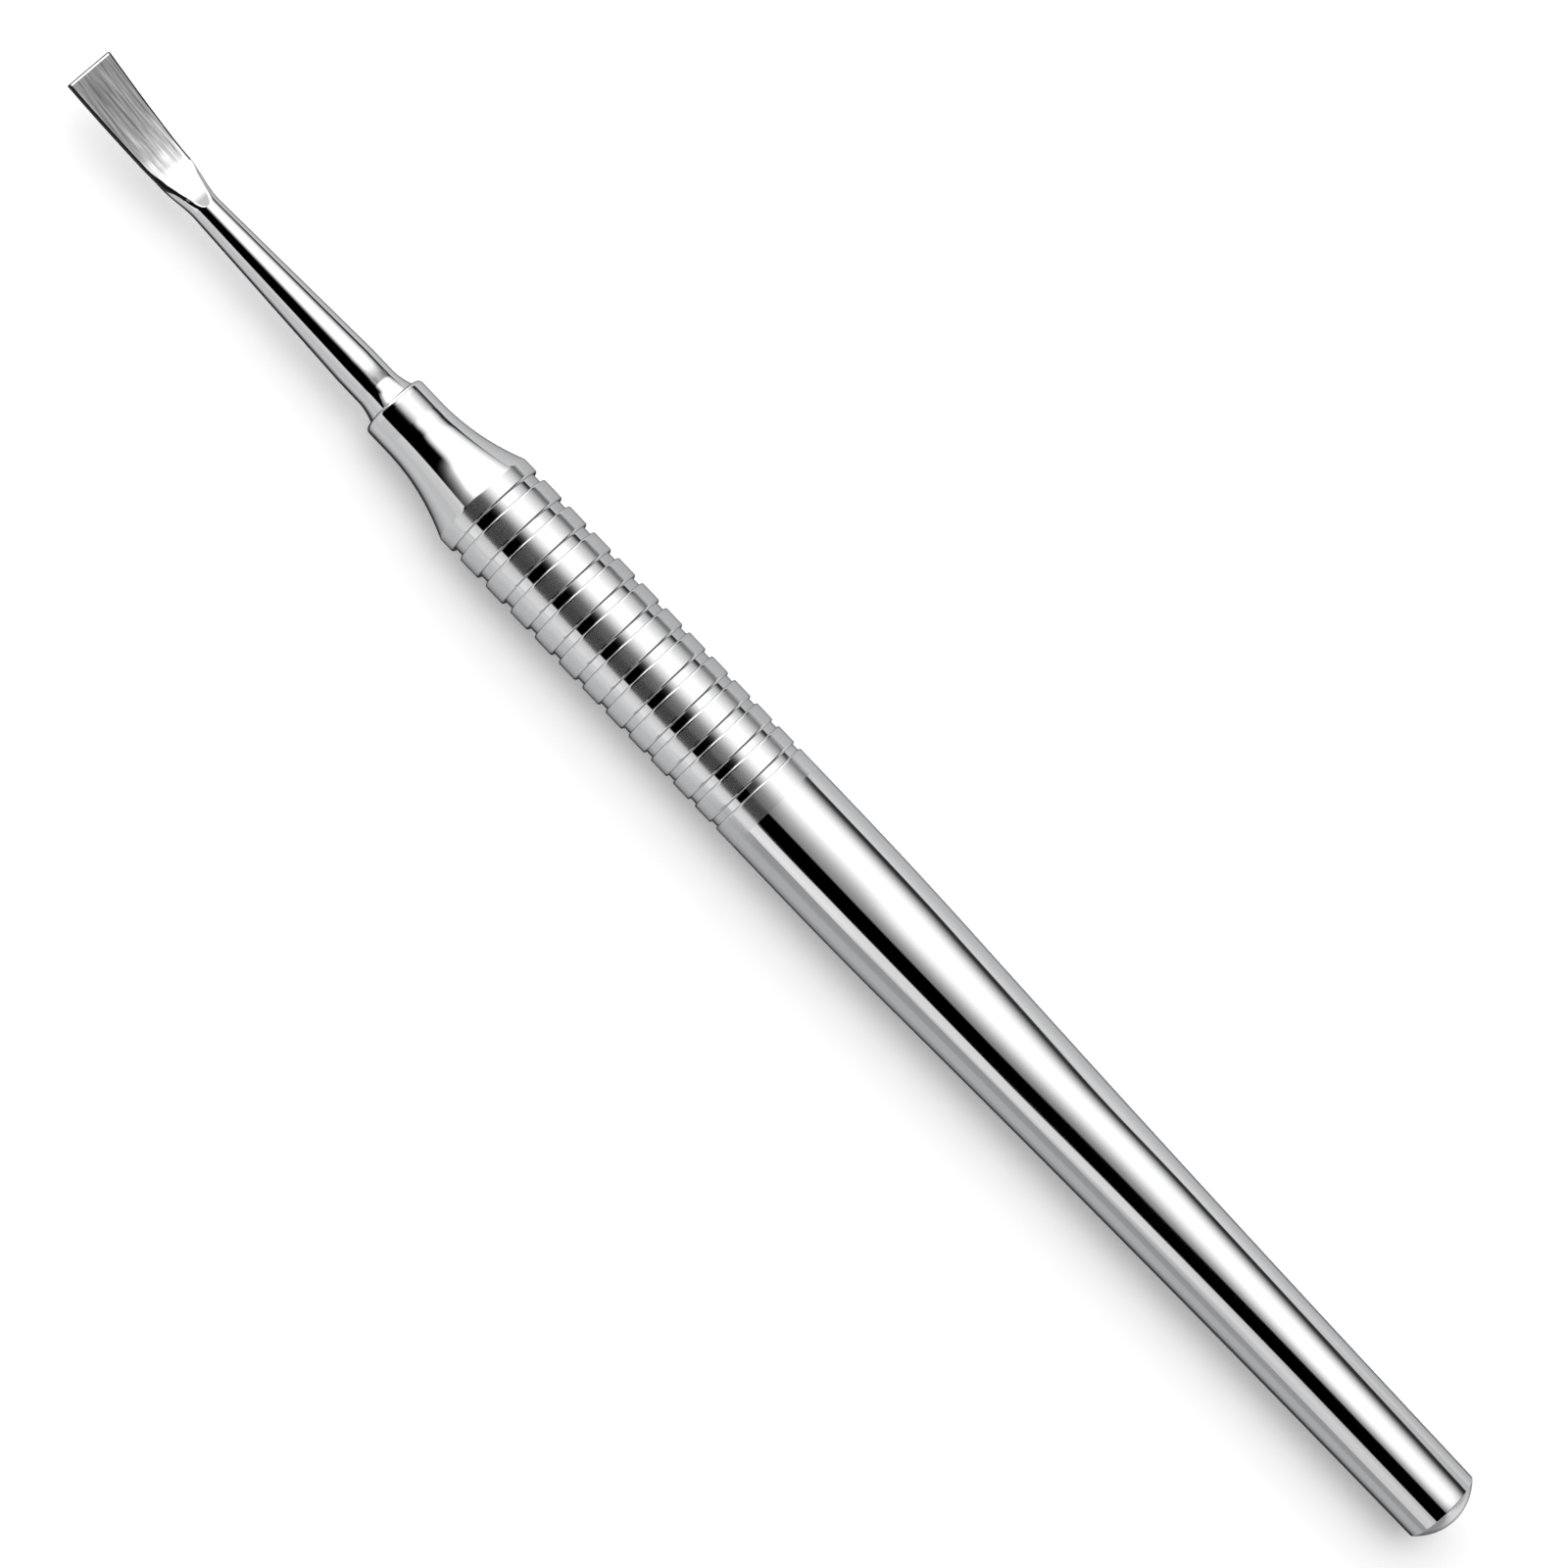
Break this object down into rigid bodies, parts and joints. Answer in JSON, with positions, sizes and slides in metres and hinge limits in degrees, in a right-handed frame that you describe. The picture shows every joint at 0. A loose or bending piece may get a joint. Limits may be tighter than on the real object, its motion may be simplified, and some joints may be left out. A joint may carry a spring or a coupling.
{
  "type": "chisel scaler",
  "caption": "Straight steel hand scaler: ringed round handle with a domed butt, tapered round shank and a flat chisel blade that bends up towards its square end.",
  "frame": {"origin": "on the handle's axis, at the middle of the ringed grip", "axes": "+X along the axis to the domed butt, the blade at -X with its ground face turned to +Z, +Y completes the right-handed set"},
  "size_m": [0.1701, 0.01, 0.01],
  "materials": {
    "handle_steel": "mirror-polished stainless steel with satin rings",
    "blade_steel": "mirror-polished stainless steel with a face ground lengthwise"
  },
  "bodies": {
    "root": {"handle": "handle_steel", "working_end": "blade_steel"}
  },
  "joints": []
}
